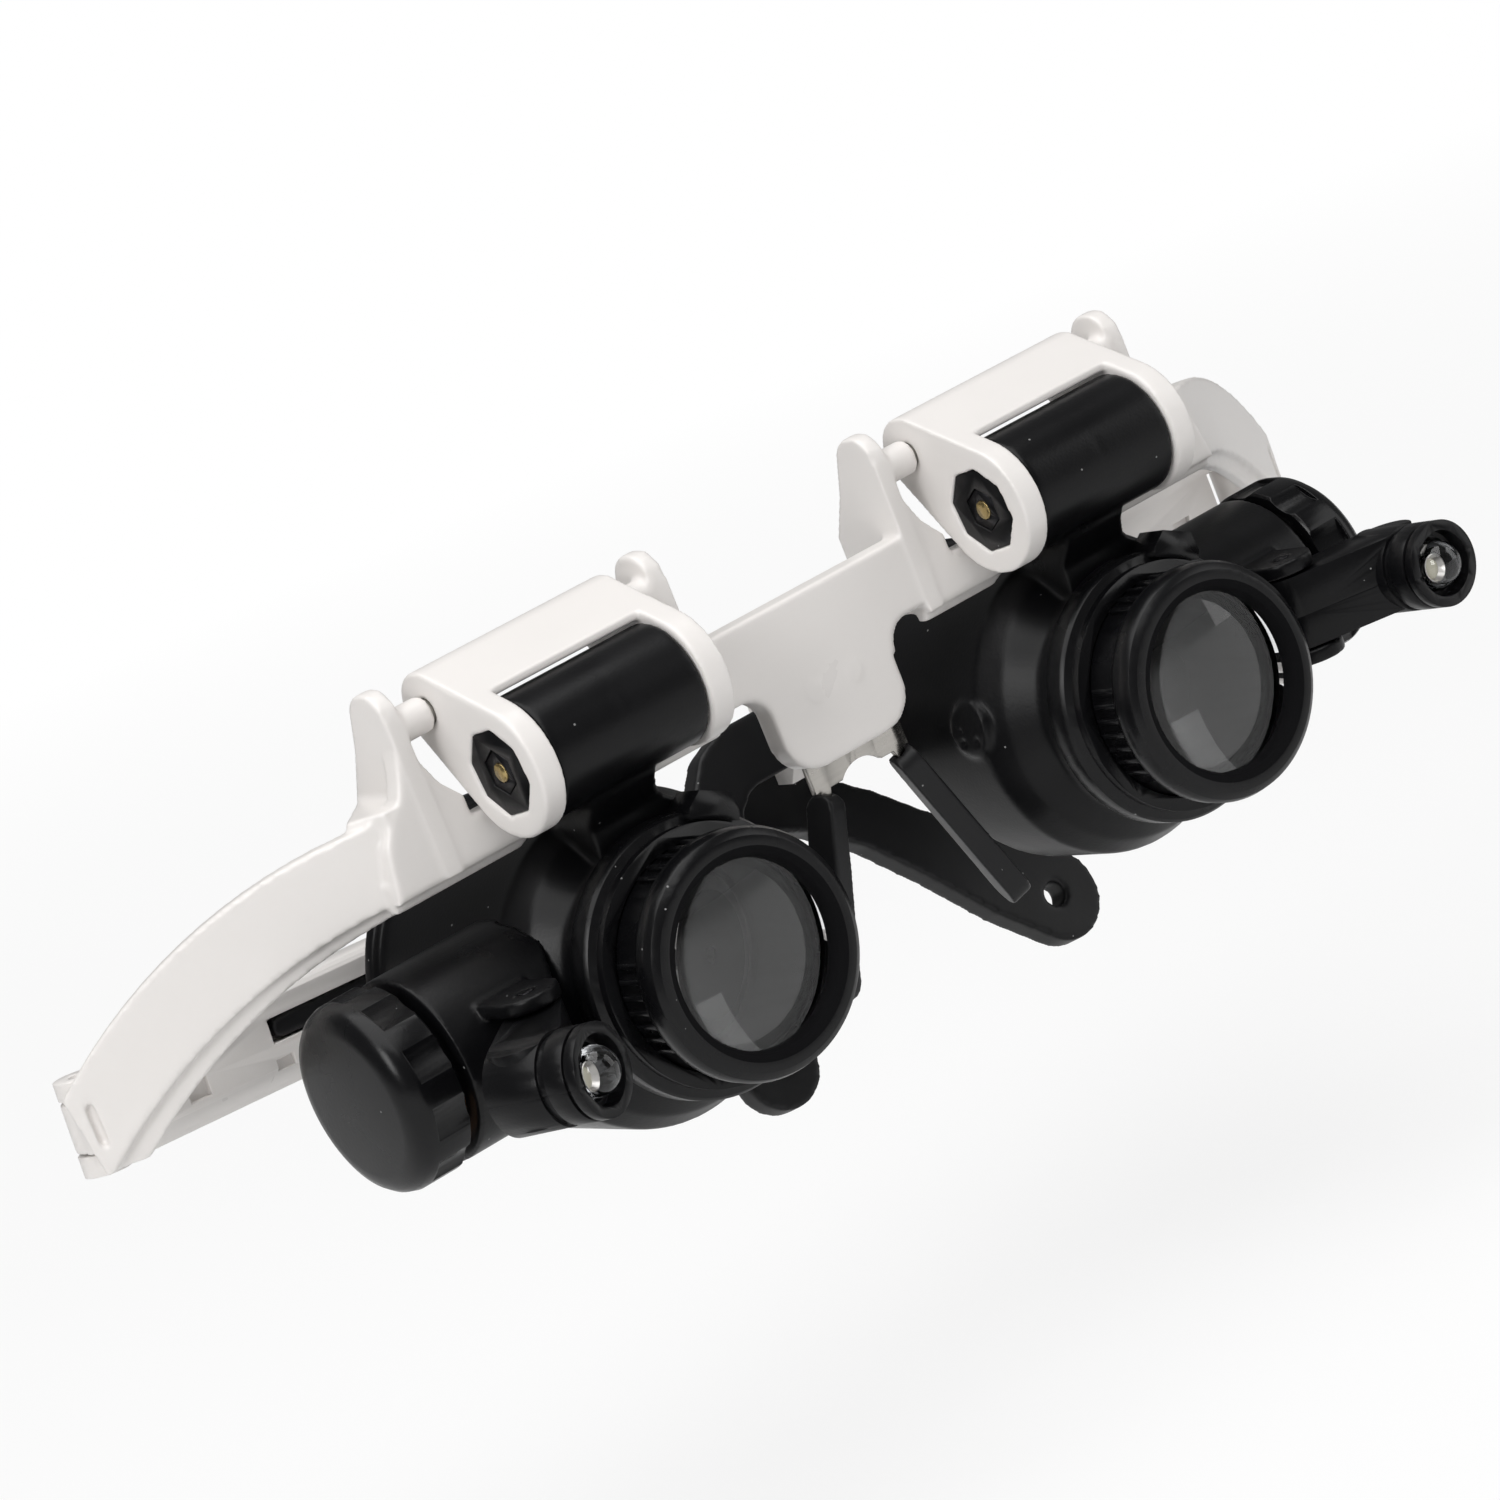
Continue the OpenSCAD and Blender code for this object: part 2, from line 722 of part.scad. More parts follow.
module lens_retainer(side) {
    color([0.1, 0.1, 0.1]) unit(side) turned([
        [opening_r, 5.7], [cell_r - 1.15, 5.7], [cell_r - 1.15, 7.3], [opening_r, 7.3]
    ]);
}

module rear_lens(side) {
    color([0.8, 0.9, 1, 0.5]) unit(side) biconvex(rear_bore_r - 0.1, rear_seat_y, 3.8, 1.1);
}

module rear_retainer(side) {
    color([0.1, 0.1, 0.1]) unit(side) turned([
        [chamber_r - 0.3, rear_seat_y + 3.9], [rear_bore_r - 0.05, rear_seat_y + 3.9],
        [rear_bore_r - 0.05, rear_seat_y + 6.2], [chamber_r + 0.6, rear_seat_y + 6.2]
    ]);
}

// Battery housing on the outer side, with the two lugs that carry the light

module along_house(r, x0, x1) {
    rod_x(r, x0, x1, house_y, house_z);
}

module battery_housing(side) {
    color([0.12, 0.12, 0.12]) outer(side) difference() {
        union() {
            along_house(house_r, 11, house_face);
            along_house(neck_r, house_face, cap_out - 2.2);
            for (z = [lug_low - lug_t, lug_top]) {
                translate([arm_x, arm_y, z]) cylinder(r = 3.2, h = lug_t);
                translate([arm_x - 3, arm_y, z]) cube([6.2, 9, lug_t]);
            }
        }
        rod_y(barrel_r, body_y, barrel_len);
        turned([[0, 0], [14.8, 0], [14.8, 16], [15.6, 17], [barrel_r, body_y], [0, body_y]]);
        along_house(bay_r, bay_floor, cap_out + 1);
        translate([arm_x, arm_y, 0]) cylinder(r = arm_pin_r + 0.02, h = 20, center = true);
    }
}

module battery_cap(side) {
    color([0.12, 0.12, 0.12]) outer(side) difference() {
        union() {
            translate([0, house_y, house_z]) rotate([0, 90, 0]) rotate_extrude() polygon([
                [0, cap_in], [cap_r - 0.3, cap_in], [cap_r, cap_in + 0.3], [cap_r, cap_out - 2.1],
                [cap_r - 0.3, cap_out - 1.2], [cap_r - 0.9, cap_out - 0.5], [cap_r - 1.8, cap_out - 0.1],
                [cap_r - 2.6, cap_out], [0, cap_out]
            ]);
        }
        difference() {
            along_house(neck_r + run_fit, cap_in - 1, cap_out - 1.8);
            along_house(bay_r - 0.5, cap_out - 4.9, cap_out);
        }
        for (a = [18 : 36 : 342]) {
            translate([0, house_y, house_z]) rotate([a, 0, 0]) translate([cap_in - 1, cap_r + 3.4, 0]) {
                rotate([0, 90, 0]) cylinder(r = 4, h = cap_out - cap_in - 1.4);
            }
        }
    }
}

module button_cells(side) {
    color("silver") outer(side) for (i = [0 : 2]) {
        along_house(button_r, 20 + i * (button_t + 0.02), 20 + i * (button_t + 0.02) + button_t - 0.4);
        along_house(button_r - 1, 20 + i * (button_t + 0.02) + button_t - 0.5,
            20 + i * (button_t + 0.02) + button_t);
    }
}

module contact_plate(side) {
    color("goldenrod") outer(side) along_house(button_r - 0.3, bay_floor + 0.05, bay_floor + 0.45);
}

// Dished spring that presses the cells on to the cap
module contact_spring(side) {
    color("goldenrod") outer(side) translate([0, house_y, house_z]) rotate([0, 90, 0]) rotate_extrude() {
        polygon([
            [1.6, 19.6], [5.2, bay_floor + 0.5], [5.2, bay_floor + 0.8], [2.6, 19.9], [1.6, 19.9]
        ]);
    }
}

// Light arm in two halves, with the socket turned inwards

module along_light(r, y0, y1) {
    translate([led_x, led_y, arm_z]) rotate([0, 0, -toe_in]) translate([0, y0, 0]) {
        rotate([-90, 0, 0]) cylinder(r = r, h = y1 - y0);
    }
}

// Swings a piece of the light about its pivot, as the photo shows the two arms
module swung(side) {
    outer(side) translate([arm_x, arm_y, 0]) rotate([0, 0, side < 0 ? -swing_in : swing_out]) {
        translate([-arm_x, -arm_y, 0]) children();
    }
}

module light_arm_solid() {
    difference() {
        union() {
            along_light(socket_r, socket_front, socket_back);
            translate([0, 0, lug_low + 0.2]) linear_extrude(lug_top - lug_low - 0.4) {
                link_2d([arm_x, arm_y], arm_hub_r, [28.2, 2.7], 3.7);
            }
        }
        along_light(led_r + 1, socket_front - 1, socket_front + 1.8);
        along_light(led_r + 0.5, socket_front + 1.7, 4);
        along_light(1.8, 3.9, 6.2);
        translate([0, 0, arm_z - 1.2]) linear_extrude(2.4) link_2d([arm_x + 2.6, arm_y - 2.2], 0.9, [28, 3], 1.4);
        translate([arm_x, arm_y, 0]) cylinder(r = arm_pin_r + run_fit, h = 20, center = true);
        for (cut = [[1, 0.4], [3.6, 0.9]]) {
            difference() {
                along_light(socket_r + 1, socket_front + cut[0], socket_front + cut[0] + cut[1]);
                along_light(socket_r - 0.35, socket_front, socket_back);
            }
        }
    }
}

module light_arm_top(side) {
    color([0.12, 0.12, 0.12]) swung(side) intersection() {
        light_arm_solid();
        translate([10, -20, arm_z]) cube([40, 40, 20]);
    }
}

module light_arm_base(side) {
    color([0.12, 0.12, 0.12]) swung(side) intersection() {
        light_arm_solid();
        translate([10, -20, arm_z - 20]) cube([40, 40, 20]);
    }
}

module light_pivot_pin(side) {
    color("silver") outer(side) translate([arm_x, arm_y, lug_low - lug_t]) {
        cylinder(r = arm_pin_r, h = lug_top - lug_low + 2 * lug_t);
    }
}

module led(side) {
    color([0.9, 0.95, 1]) swung(side) {
        intersection() {
            along_light(led_r, dome_y - led_r, 2.8);
            union() {
                along_light(led_r, dome_y - 0.2, 2.8);
                translate([led_x, led_y, arm_z]) rotate([0, 0, -toe_in]) translate([0, dome_y, 0]) sphere(led_r);
            }
        }
        along_light(led_r + 0.4, 2.4, 3.4);
    }
}

dome_y = -0.6;

module led_leads(side) {
    color("silver") swung(side) {
        for (z = [-0.7, 0.7]) {
            translate([led_x, led_y, arm_z + z]) rotate([0, 0, -toe_in]) translate([0, 3.45, 0]) {
                rotate([-90, 0, 0]) cylinder(r = 0.25, h = 2);
            }
        }
    }
}

frame_front();
nose_clip();
nose_clip_screws();
nose_pad(-1);  // nose_pad_left
nose_pad(1);  // nose_pad_right
temple_hinge_pins();
bracket_pivot_pins();
temple_sleeve_left();
temple_sleeve_right();
ear_tip_left();
ear_tip_right();
bracket(-1);  // bracket_left
bracket(1);  // bracket_right
nut_holder(-1);  // nut_holder_left
nut_holder(1);  // nut_holder_right
tilt_screw(-1);  // tilt_screw_left
tilt_screw(1);  // tilt_screw_right
tilt_nut(-1);  // tilt_nut_left
tilt_nut(1);  // tilt_nut_right
barrel_body(-1);  // barrel_body_left
barrel_body(1);  // barrel_body_right
lock_ring(-1);  // lock_ring_left
lock_ring(1);  // lock_ring_right
lens_cell(-1);  // lens_cell_left
lens_cell(1);  // lens_cell_right
front_lens(-1);  // front_lens_left
front_lens(1);  // front_lens_right
lens_retainer(-1);  // lens_retainer_left
lens_retainer(1);  // lens_retainer_right
rear_lens(-1);  // rear_lens_left
rear_lens(1);  // rear_lens_right
rear_retainer(-1);  // rear_retainer_left
rear_retainer(1);  // rear_retainer_right
battery_housing(-1);  // battery_housing_left
battery_housing(1);  // battery_housing_right
battery_cap(-1);  // battery_cap_left
battery_cap(1);  // battery_cap_right
button_cells(-1);  // button_cells_left
button_cells(1);  // button_cells_right
contact_spring(-1);  // contact_spring_left
contact_spring(1);  // contact_spring_right
contact_plate(-1);  // contact_plate_left
contact_plate(1);  // contact_plate_right
light_arm_top(-1);  // light_arm_top_left
light_arm_top(1);  // light_arm_top_right
light_arm_base(-1);  // light_arm_base_left
light_arm_base(1);  // light_arm_base_right
light_pivot_pin(-1);  // light_pivot_pin_left
light_pivot_pin(1);  // light_pivot_pin_right
led(-1);  // led_left
led(1);  // led_right
led_leads(-1);  // led_leads_left
led_leads(1);  // led_leads_right
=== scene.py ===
import json
import math

import bmesh
import bpy
from bpy.props import FloatProperty, FloatVectorProperty, IntProperty, PointerProperty
from mathutils import Matrix, Vector


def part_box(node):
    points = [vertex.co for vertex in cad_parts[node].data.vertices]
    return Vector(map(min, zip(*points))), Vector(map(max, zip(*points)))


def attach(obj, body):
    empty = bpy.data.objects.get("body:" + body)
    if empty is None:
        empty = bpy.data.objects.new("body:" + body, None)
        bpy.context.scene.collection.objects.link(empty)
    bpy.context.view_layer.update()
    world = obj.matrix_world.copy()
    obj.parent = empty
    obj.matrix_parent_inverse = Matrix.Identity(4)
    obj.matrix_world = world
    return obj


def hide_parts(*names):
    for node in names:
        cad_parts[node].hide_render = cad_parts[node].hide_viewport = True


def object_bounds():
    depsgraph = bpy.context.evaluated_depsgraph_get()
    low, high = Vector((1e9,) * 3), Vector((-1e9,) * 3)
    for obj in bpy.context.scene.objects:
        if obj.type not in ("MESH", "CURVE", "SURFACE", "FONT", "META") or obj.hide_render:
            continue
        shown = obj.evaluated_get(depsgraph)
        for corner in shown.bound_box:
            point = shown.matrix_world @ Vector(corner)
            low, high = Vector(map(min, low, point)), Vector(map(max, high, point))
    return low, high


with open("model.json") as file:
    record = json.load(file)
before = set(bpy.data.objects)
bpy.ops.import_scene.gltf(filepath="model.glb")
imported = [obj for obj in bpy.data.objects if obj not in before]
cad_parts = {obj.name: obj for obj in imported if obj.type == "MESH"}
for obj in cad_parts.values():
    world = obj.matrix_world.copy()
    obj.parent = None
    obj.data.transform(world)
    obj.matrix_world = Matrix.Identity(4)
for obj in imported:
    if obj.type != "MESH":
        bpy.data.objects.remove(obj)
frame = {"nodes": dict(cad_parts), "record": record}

bl_info = {
    "name": "Spectacle Loupe",
    "version": (1, 0, 0),
    "blender": (4, 5, 0),
    "location": "View3D > Sidebar > Loupe",
    "description": "Dresses the double loupe with its moulded, turned and glass pieces",
    "category": "Object",
}

CAD_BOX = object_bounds()
SIDES = ("left", "right")
MM = 0.001

# Rounding of moulded pieces: voxel sizes, smoothing rounds and the share of faces kept
BRACKET_VOXEL = 0.24 * MM
EAR_TIP_VOXEL = 0.3 * MM
NOSE_PAD_VOXEL = 0.22 * MM
BARREL_ROUNDS = 12
NOSE_PAD_ROUNDS = 8
EASE = 0.5
FACES_KEPT = 0.45

# Bevels of crisp pieces
SLEEVE_ROUND = 0.3 * MM
CAP_ROUND = 0.3 * MM
CELL_ROUND = 0.12 * MM
BUTTON_ROUND = 0.25 * MM
CONTACT_ROUND = 0.04 * MM
LIGHT_ROUND = 0.1 * MM
LEAD_ROUND = 0.03 * MM
WELD = 0.002 * MM
FLAT_ANGLE = math.radians(0.6)
HARD_ANGLE = math.radians(28)
BENT_SHEET_ANGLE = math.radians(50)
DOME_ANGLE = math.radians(50)

# Cover over the clip screws: its plug's radius and length in millimetres, and the skin it leaves
PLUG_R = 1.1
PLUG_LEN = 0.6
SCREW_SKIN = 0.7 * MM

# Blackened bore behind a lens: how far out it reaches and how much a face looks inwards
BORE_R = 15.5 * MM
INWARD = -0.3

# Turned pieces and wires: sides, steps round a wire and the angle of a hard edge
LATHE_SIDES = 32
LATHE_HARD_ANGLE = math.radians(35)
WIRE_STEPS = 4

# Lens blanks: rings and sides of each face, and which points are its rim, middle and flat
LENS_RINGS = 32
LENS_SIDES = 128
RIM_SHARE = 0.985
MIDDLE_SHARE = 0.2
FLAT_SAG = 1e-6

# Contact strip beside the battery's cap, in millimetres and degrees
STRIP_OUT = 59.7
STRIP_BEND_R = 7.85
STRIP_ANGLES = (18, 30, 42, 54, 66)
STRIP_R = 0.4 * MM

# Lead frame inside a clear light: distance along it and radius, in millimetres
CUP = ((2.5, 0.3), (2.6, 0.55), (3.0, 0.62), (3.55, 0.95), (3.6, 0.88), (3.1, 0.45), (3.08, 0.2))
CHIP = ((3.05, 0.5), (3.3, 0.62), (3.36, 0.5), (3.38, 0.1))
POST = ((0.4, 0.22), (2.3, 0.25), (2.6, 0.5), (3.0, 0.45), (3.1, 0.15))
STEM = ((0.4, 0.24), (2.2, 0.3), (2.55, 0.35), (2.6, 0.2))
CUP_DROP = 0.25 * MM
POST_LIFT = 1.05 * MM
STEM_DROP = 0.5 * MM

# Red wire at the left light: way back from the lens, way in and way up, in millimetres
WIRE_START = 3.45
WIRE_PATH = (
    (6.5, 3.4, 1.2), (5.0, 5.2, 2.1), (2.4, 5.9, 2.3), (0.9, 5.2, 1.9), (0.9, 4.2, 1.2))
WIRE_R = 0.3 * MM

# Camera of the reference view
LENS = 131.25
SENSOR = 36
NEAREST = 0.01
CAMERA_PLACE = Vector((-0.3011, -0.45089, 0.12246))
CAMERA_RIGHT = Vector((0.7404, -0.5640, -0.3656))
CAMERA_UP = Vector((0.4142, -0.0455, 0.9090))

# Stage
LIGHT_AIM = Vector((0, 0.01, 0))
WORLD_LIGHT = 0.16
FLOOR_DARK = 0.86
FLOOR_PALE = 0.9
FLOOR_REACH = 4.0


def tint(name, description, value):
    """A colour that shows in the panel."""
    return FloatVectorProperty(
        name=name, description=description, default=value, size=3, subtype="COLOR", min=0, max=1)


class LoupeSizes(bpy.types.PropertyGroup):
    """Sizes of the soft edges and of the stage."""

    frame_edge: FloatProperty(
        name="Frame edge", description="Voxel size that rounds the white front's edges",
        default=0.3 * MM, min=0.2 * MM, max=1 * MM, unit="LENGTH")
    barrel_edge: FloatProperty(
        name="Barrel edge", description="Voxel size that rounds the black housings' edges",
        default=0.26 * MM, min=0.2 * MM, max=1 * MM, unit="LENGTH")
    ring_edge: FloatProperty(
        name="Ring edge", description="Bevel width on turned rings and light arms",
        default=0.22 * MM, min=0.05 * MM, max=0.6 * MM, unit="LENGTH")
    small_edge: FloatProperty(
        name="Small edge", description="Bevel width on screws, nuts, pins and the nose clip",
        default=0.08 * MM, min=0.02 * MM, max=0.3 * MM, unit="LENGTH")
    soften: IntProperty(
        name="Soften", description="Smoothing rounds on moulded pieces", default=6, min=0, max=30)
    floor_drop: FloatProperty(
        name="Floor drop", description="Gap between the object's lowest point and the floor",
        default=30 * MM, min=0, max=0.3, unit="LENGTH")


class LoupeColours(bpy.types.PropertyGroup):
    """Colours of the plastics, the metals, the glass and the lights."""

    white: tint("White plastic", "Frame, temples and brackets", (0.82, 0.79, 0.765))
    black: tint("Black plastic", "Barrels and housings", (0.0045, 0.0045, 0.0052))
    rubber: tint("Soft black", "Ear tips and nose pads", (0.011, 0.011, 0.012))
    metal: tint("Bright metal", "Screws, pins and button cells", (0.66, 0.65, 0.62))
    copper: tint("Contact bronze", "Battery contacts", (0.72, 0.42, 0.24))
    clip: tint("Sheet steel", "Nose clip and the cups in the lights", (0.47, 0.45, 0.42))
    # painted shade: tilt nuts and light pivot pins are near black to stand in for the shade of the
    # pockets and slots they sit in
    recess_shade: tint("Painted recess shade", "Tilt nuts and light pivots", (0.03, 0.03, 0.033))
    brass: tint("Brass", "Tilt screws", (0.5, 0.38, 0.17))
    glass: tint("Lens glass", "Lenses", (0.985, 0.99, 0.995))
    resin: tint("Clear resin", "Round lights", (0.95, 0.97, 1.0))
    lead_frame: tint("Lead frame", "Aged metal in the lights", (0.3, 0.29, 0.27))
    chip: tint("Light chip", "Chip in each light's cup", (0.5, 0.47, 0.36))
    red_wire: tint("Red insulation", "Wire at the left light", (0.3, 0.012, 0.01))


def sizes():
    """The sizes set in the panel."""
    return bpy.context.scene.loupe_sizes


def colours():
    """The colours set in the panel."""
    return bpy.context.scene.loupe_colours


# Node groups

GRAIN_SHARE = 0.6
PIT_SHARE = 0.4
DUSTY_ABOVE = 0.56
LINE_STRETCH = (0.06, 1.0, 1.0)


def new_group(name, inputs, outputs):
    """An empty node group with its sockets, and its two end nodes."""
    group = bpy.data.node_groups.new(name, "ShaderNodeTree")
    for label, kind, value in inputs:
        socket = group.interface.new_socket(label, in_out="INPUT", socket_type=kind)
        socket.default_value = value
    for label, kind in outputs:
        group.interface.new_socket(label, in_out="OUTPUT", socket_type=kind)
    return group, group.nodes.new("NodeGroupInput"), group.nodes.new("NodeGroupOutput")


def add(tree, kind, links=(), **values):
    """Adds a node, sets its attributes or sockets, and links sockets given as (input, source)."""
    node = tree.nodes.new(kind)
    for key, value in values.items():
        if hasattr(node, key):
            setattr(node, key, value)
        else:
            node.inputs[key.replace("_", " ")].default_value = value
    for where, source in links:
        tree.links.new(source, node.inputs[where])
    return node


def maths(tree, operation, a, b):
    """The result of a sum on two values or sockets."""
    node = tree.nodes.new("ShaderNodeMath")
    node.operation = operation
    for index, value in enumerate((a, b)):
        if isinstance(value, (int, float)):
            node.inputs[index].default_value = value
        else:
            tree.links.new(value, node.inputs[index])
    return node.outputs[0]


def moulded_grain():
    """Fine spark-eroded grain of a moulded plastic, with slow waves from cooling."""
    group, inp, out = new_group(
        "Moulded Grain",
        [("Grain Scale", "NodeSocketFloat", 3200.0), ("Wave Scale", "NodeSocketFloat", 60.0),
         ("Wave Share", "NodeSocketFloat", 0.3)],
        [("Height", "NodeSocketFloat")])
    place = add(group, "ShaderNodeTexCoord")
    grain = add(group, "ShaderNodeTexNoise", [
        ("Vector", place.outputs["Object"]), ("Scale", inp.outputs["Grain Scale"])], Detail=2.0)
    pits = add(group, "ShaderNodeTexVoronoi", [
        ("Vector", place.outputs["Object"]), ("Scale", inp.outputs["Grain Scale"])])
    wave = add(group, "ShaderNodeTexNoise", [
        ("Vector", place.outputs["Object"]), ("Scale", inp.outputs["Wave Scale"])], Detail=1.0)
    fine = maths(group, "ADD", maths(group, "MULTIPLY", grain.outputs["Fac"], GRAIN_SHARE),
                 maths(group, "MULTIPLY", pits.outputs["Distance"], PIT_SHARE))
    slow = maths(group, "MULTIPLY", wave.outputs["Fac"], inp.outputs["Wave Share"])
    group.links.new(maths(group, "ADD", fine, slow), out.inputs["Height"])
    return group


def handling():
    """Faint smears and fingertip patches that vary the gloss and lift the colour a little."""
    group, inp, out = new_group(
        "Handling Marks",
        [("Patch Scale", "NodeSocketFloat", 90.0), ("Low", "NodeSocketFloat", 0.3),
         ("High", "NodeSocketFloat", 0.4)],
        [("Roughness", "NodeSocketFloat"), ("Patches", "NodeSocketFloat")])
    place = add(group, "ShaderNodeTexCoord")
    patch = add(group, "ShaderNodeTexNoise", [
        ("Vector", place.outputs["Object"]), ("Scale", inp.outputs["Patch Scale"])],
        Detail=4.0, Distortion=0.6)
    span = add(group, "ShaderNodeMapRange", [
        ("Value", patch.outputs["Fac"]), ("To Min", inp.outputs["Low"]),
        ("To Max", inp.outputs["High"])], From_Min=0.3, From_Max=0.7)
    group.links.new(span.outputs["Result"], out.inputs["Roughness"])
    group.links.new(patch.outputs["Fac"], out.inputs["Patches"])
    return group


def dust():
    """Sparse pale specks, as on a used black moulding."""
    group, inp, out = new_group(
        "Dust Specks",
        [("Speck Scale", "NodeSocketFloat", 420.0), ("Speck Size", "NodeSocketFloat", 0.07)],
        [("Specks", "NodeSocketFloat")])
    place = add(group, "ShaderNodeTexCoord")
    cells = add(group, "ShaderNodeTexVoronoi", [
        ("Vector", place.outputs["Object"]), ("Scale", inp.outputs["Speck Scale"])])
    pick = add(group, "ShaderNodeTexNoise", [
        ("Vector", place.outputs["Object"])], Scale=170.0, Detail=1.0)
    near = maths(group, "LESS_THAN", cells.outputs["Distance"], inp.outputs["Speck Size"])
    some = maths(group, "GREATER_THAN", pick.outputs["Fac"], DUSTY_ABOVE)
    group.links.new(maths(group, "MULTIPLY", near, some), out.inputs["Specks"])
    return group


def brushed_lines():
    """Fine drawn or turned lines on metal."""
    group, inp, out = new_group(
        "Drawn Lines",
        [("Line Scale", "NodeSocketFloat", 2600.0)],
        [("Height", "NodeSocketFloat"), ("Mask", "NodeSocketFloat")])
    place = add(group, "ShaderNodeTexCoord")
    stretch = add(group, "ShaderNodeMapping", [("Vector", place.outputs["Object"])])
    stretch.inputs["Scale"].default_value = LINE_STRETCH
    lines = add(group, "ShaderNodeTexNoise", [
        ("Vector", stretch.outputs["Vector"]), ("Scale", inp.outputs["Line Scale"])], Detail=3.0)
    group.links.new(lines.outputs["Fac"], out.inputs["Height"])
    group.links.new(lines.outputs["Fac"], out.inputs["Mask"])
    return group


GROUPS = {}


def effect(tree, maker, **values):
    """Places one of the shared effects in a material."""
    if maker.__name__ not in GROUPS:
        GROUPS[maker.__name__] = maker()
    node = tree.nodes.new("ShaderNodeGroup")
    node.node_tree = GROUPS[maker.__name__]
    for key, value in values.items():
        node.inputs[key.replace("_", " ")].default_value = value
    return node


# Finishes

SPECK_TONE = (0.25, 0.25, 0.25, 1)
GRAIN_DEPTH = 0.04 * MM
LINE_DEPTH = 0.02 * MM
LINE_STRENGTH = 0.15
COAT_ROUGHNESS = 0.22
METAL_SHADE = 0.8
CLEAR_SHADE = 0.97
GLASS_IOR = 1.5


def blank(name):
    """A new material, its tree and its shader."""
    material = bpy.data.materials.new(name)
    material.use_nodes = True
    tree = material.node_tree
    return material, tree, tree.nodes["Principled BSDF"]


def two_tones(tree, colour, shade, factor):
    """Mixes a colour with a darker tone of itself and returns the socket that holds it."""
    tone = add(tree, "ShaderNodeMix", [("Factor", factor)], data_type="RGBA")
    tone.inputs["A"].default_value = (*[c * shade for c in colour], 1)
    tone.inputs["B"].default_value = (*colour, 1)
    return tone.outputs["Result"]


def roughen(tree, shader, height, strength, distance):
    """Links a height to the shader as a bump."""
    bump = add(tree, "ShaderNodeBump", [("Height", height)], Strength=strength, Distance=distance)
    tree.links.new(bump.outputs["Normal"], shader.inputs["Normal"])


def plastic(name, colour, shade, low, high, grain, depth, specks=0.0, coat=0.0, gleam=0.5):
    """Moulded plastic: two close tones, grain in the bump, patchy gloss and optional dust."""
    material, tree, shader = blank(name)
    marks = effect(tree, handling, Patch_Scale=85.0, Low=low, High=high)
    texture = effect(tree, moulded_grain, Grain_Scale=grain)
    top = two_tones(tree, colour, shade, marks.outputs["Patches"])
    if specks:
        spots = effect(tree, dust, Speck_Size=specks)
        dusty = add(tree, "ShaderNodeMix", [
            ("Factor", spots.outputs["Specks"]), ("A", top)], data_type="RGBA")
        dusty.inputs["B"].default_value = SPECK_TONE
        top = dusty.outputs["Result"]
    tree.links.new(top, shader.inputs["Base Color"])
    tree.links.new(marks.outputs["Roughness"], shader.inputs["Roughness"])
    roughen(tree, shader, texture.outputs["Height"], depth, GRAIN_DEPTH)
    shader.inputs["Specular IOR Level"].default_value = gleam
    shader.inputs["Coat Weight"].default_value = coat
    shader.inputs["Coat Roughness"].default_value = COAT_ROUGHNESS
    return material


def metal(name, colour, low, high):
    """Metal with fine drawn lines and patchy gloss."""
    material, tree, shader = blank(name)
    lines = effect(tree, brushed_lines)
    marks = effect(tree, handling, Patch_Scale=240.0, Low=low, High=high)
    tone = two_tones(tree, colour, METAL_SHADE, lines.outputs["Mask"])
    tree.links.new(tone, shader.inputs["Base Color"])
    tree.links.new(marks.outputs["Roughness"], shader.inputs["Roughness"])
    roughen(tree, shader, lines.outputs["Height"], LINE_STRENGTH, LINE_DEPTH)
    shader.inputs["Metallic"].default_value = 1.0
    return material


def clear(name, colour):
    """Polished clear glass or resin with a faint cloud in its tint."""
    material, tree, shader = blank(name)
    marks = effect(tree, handling, Patch_Scale=150.0)
    tone = two_tones(tree, colour, CLEAR_SHADE, marks.outputs["Patches"])
    tree.links.new(tone, shader.inputs["Base Color"])
    shader.inputs["Roughness"].default_value = 0.0
    shader.inputs["Transmission Weight"].default_value = 1.0
    shader.inputs["IOR"].default_value = GLASS_IOR
    return material


FINISHES = {}


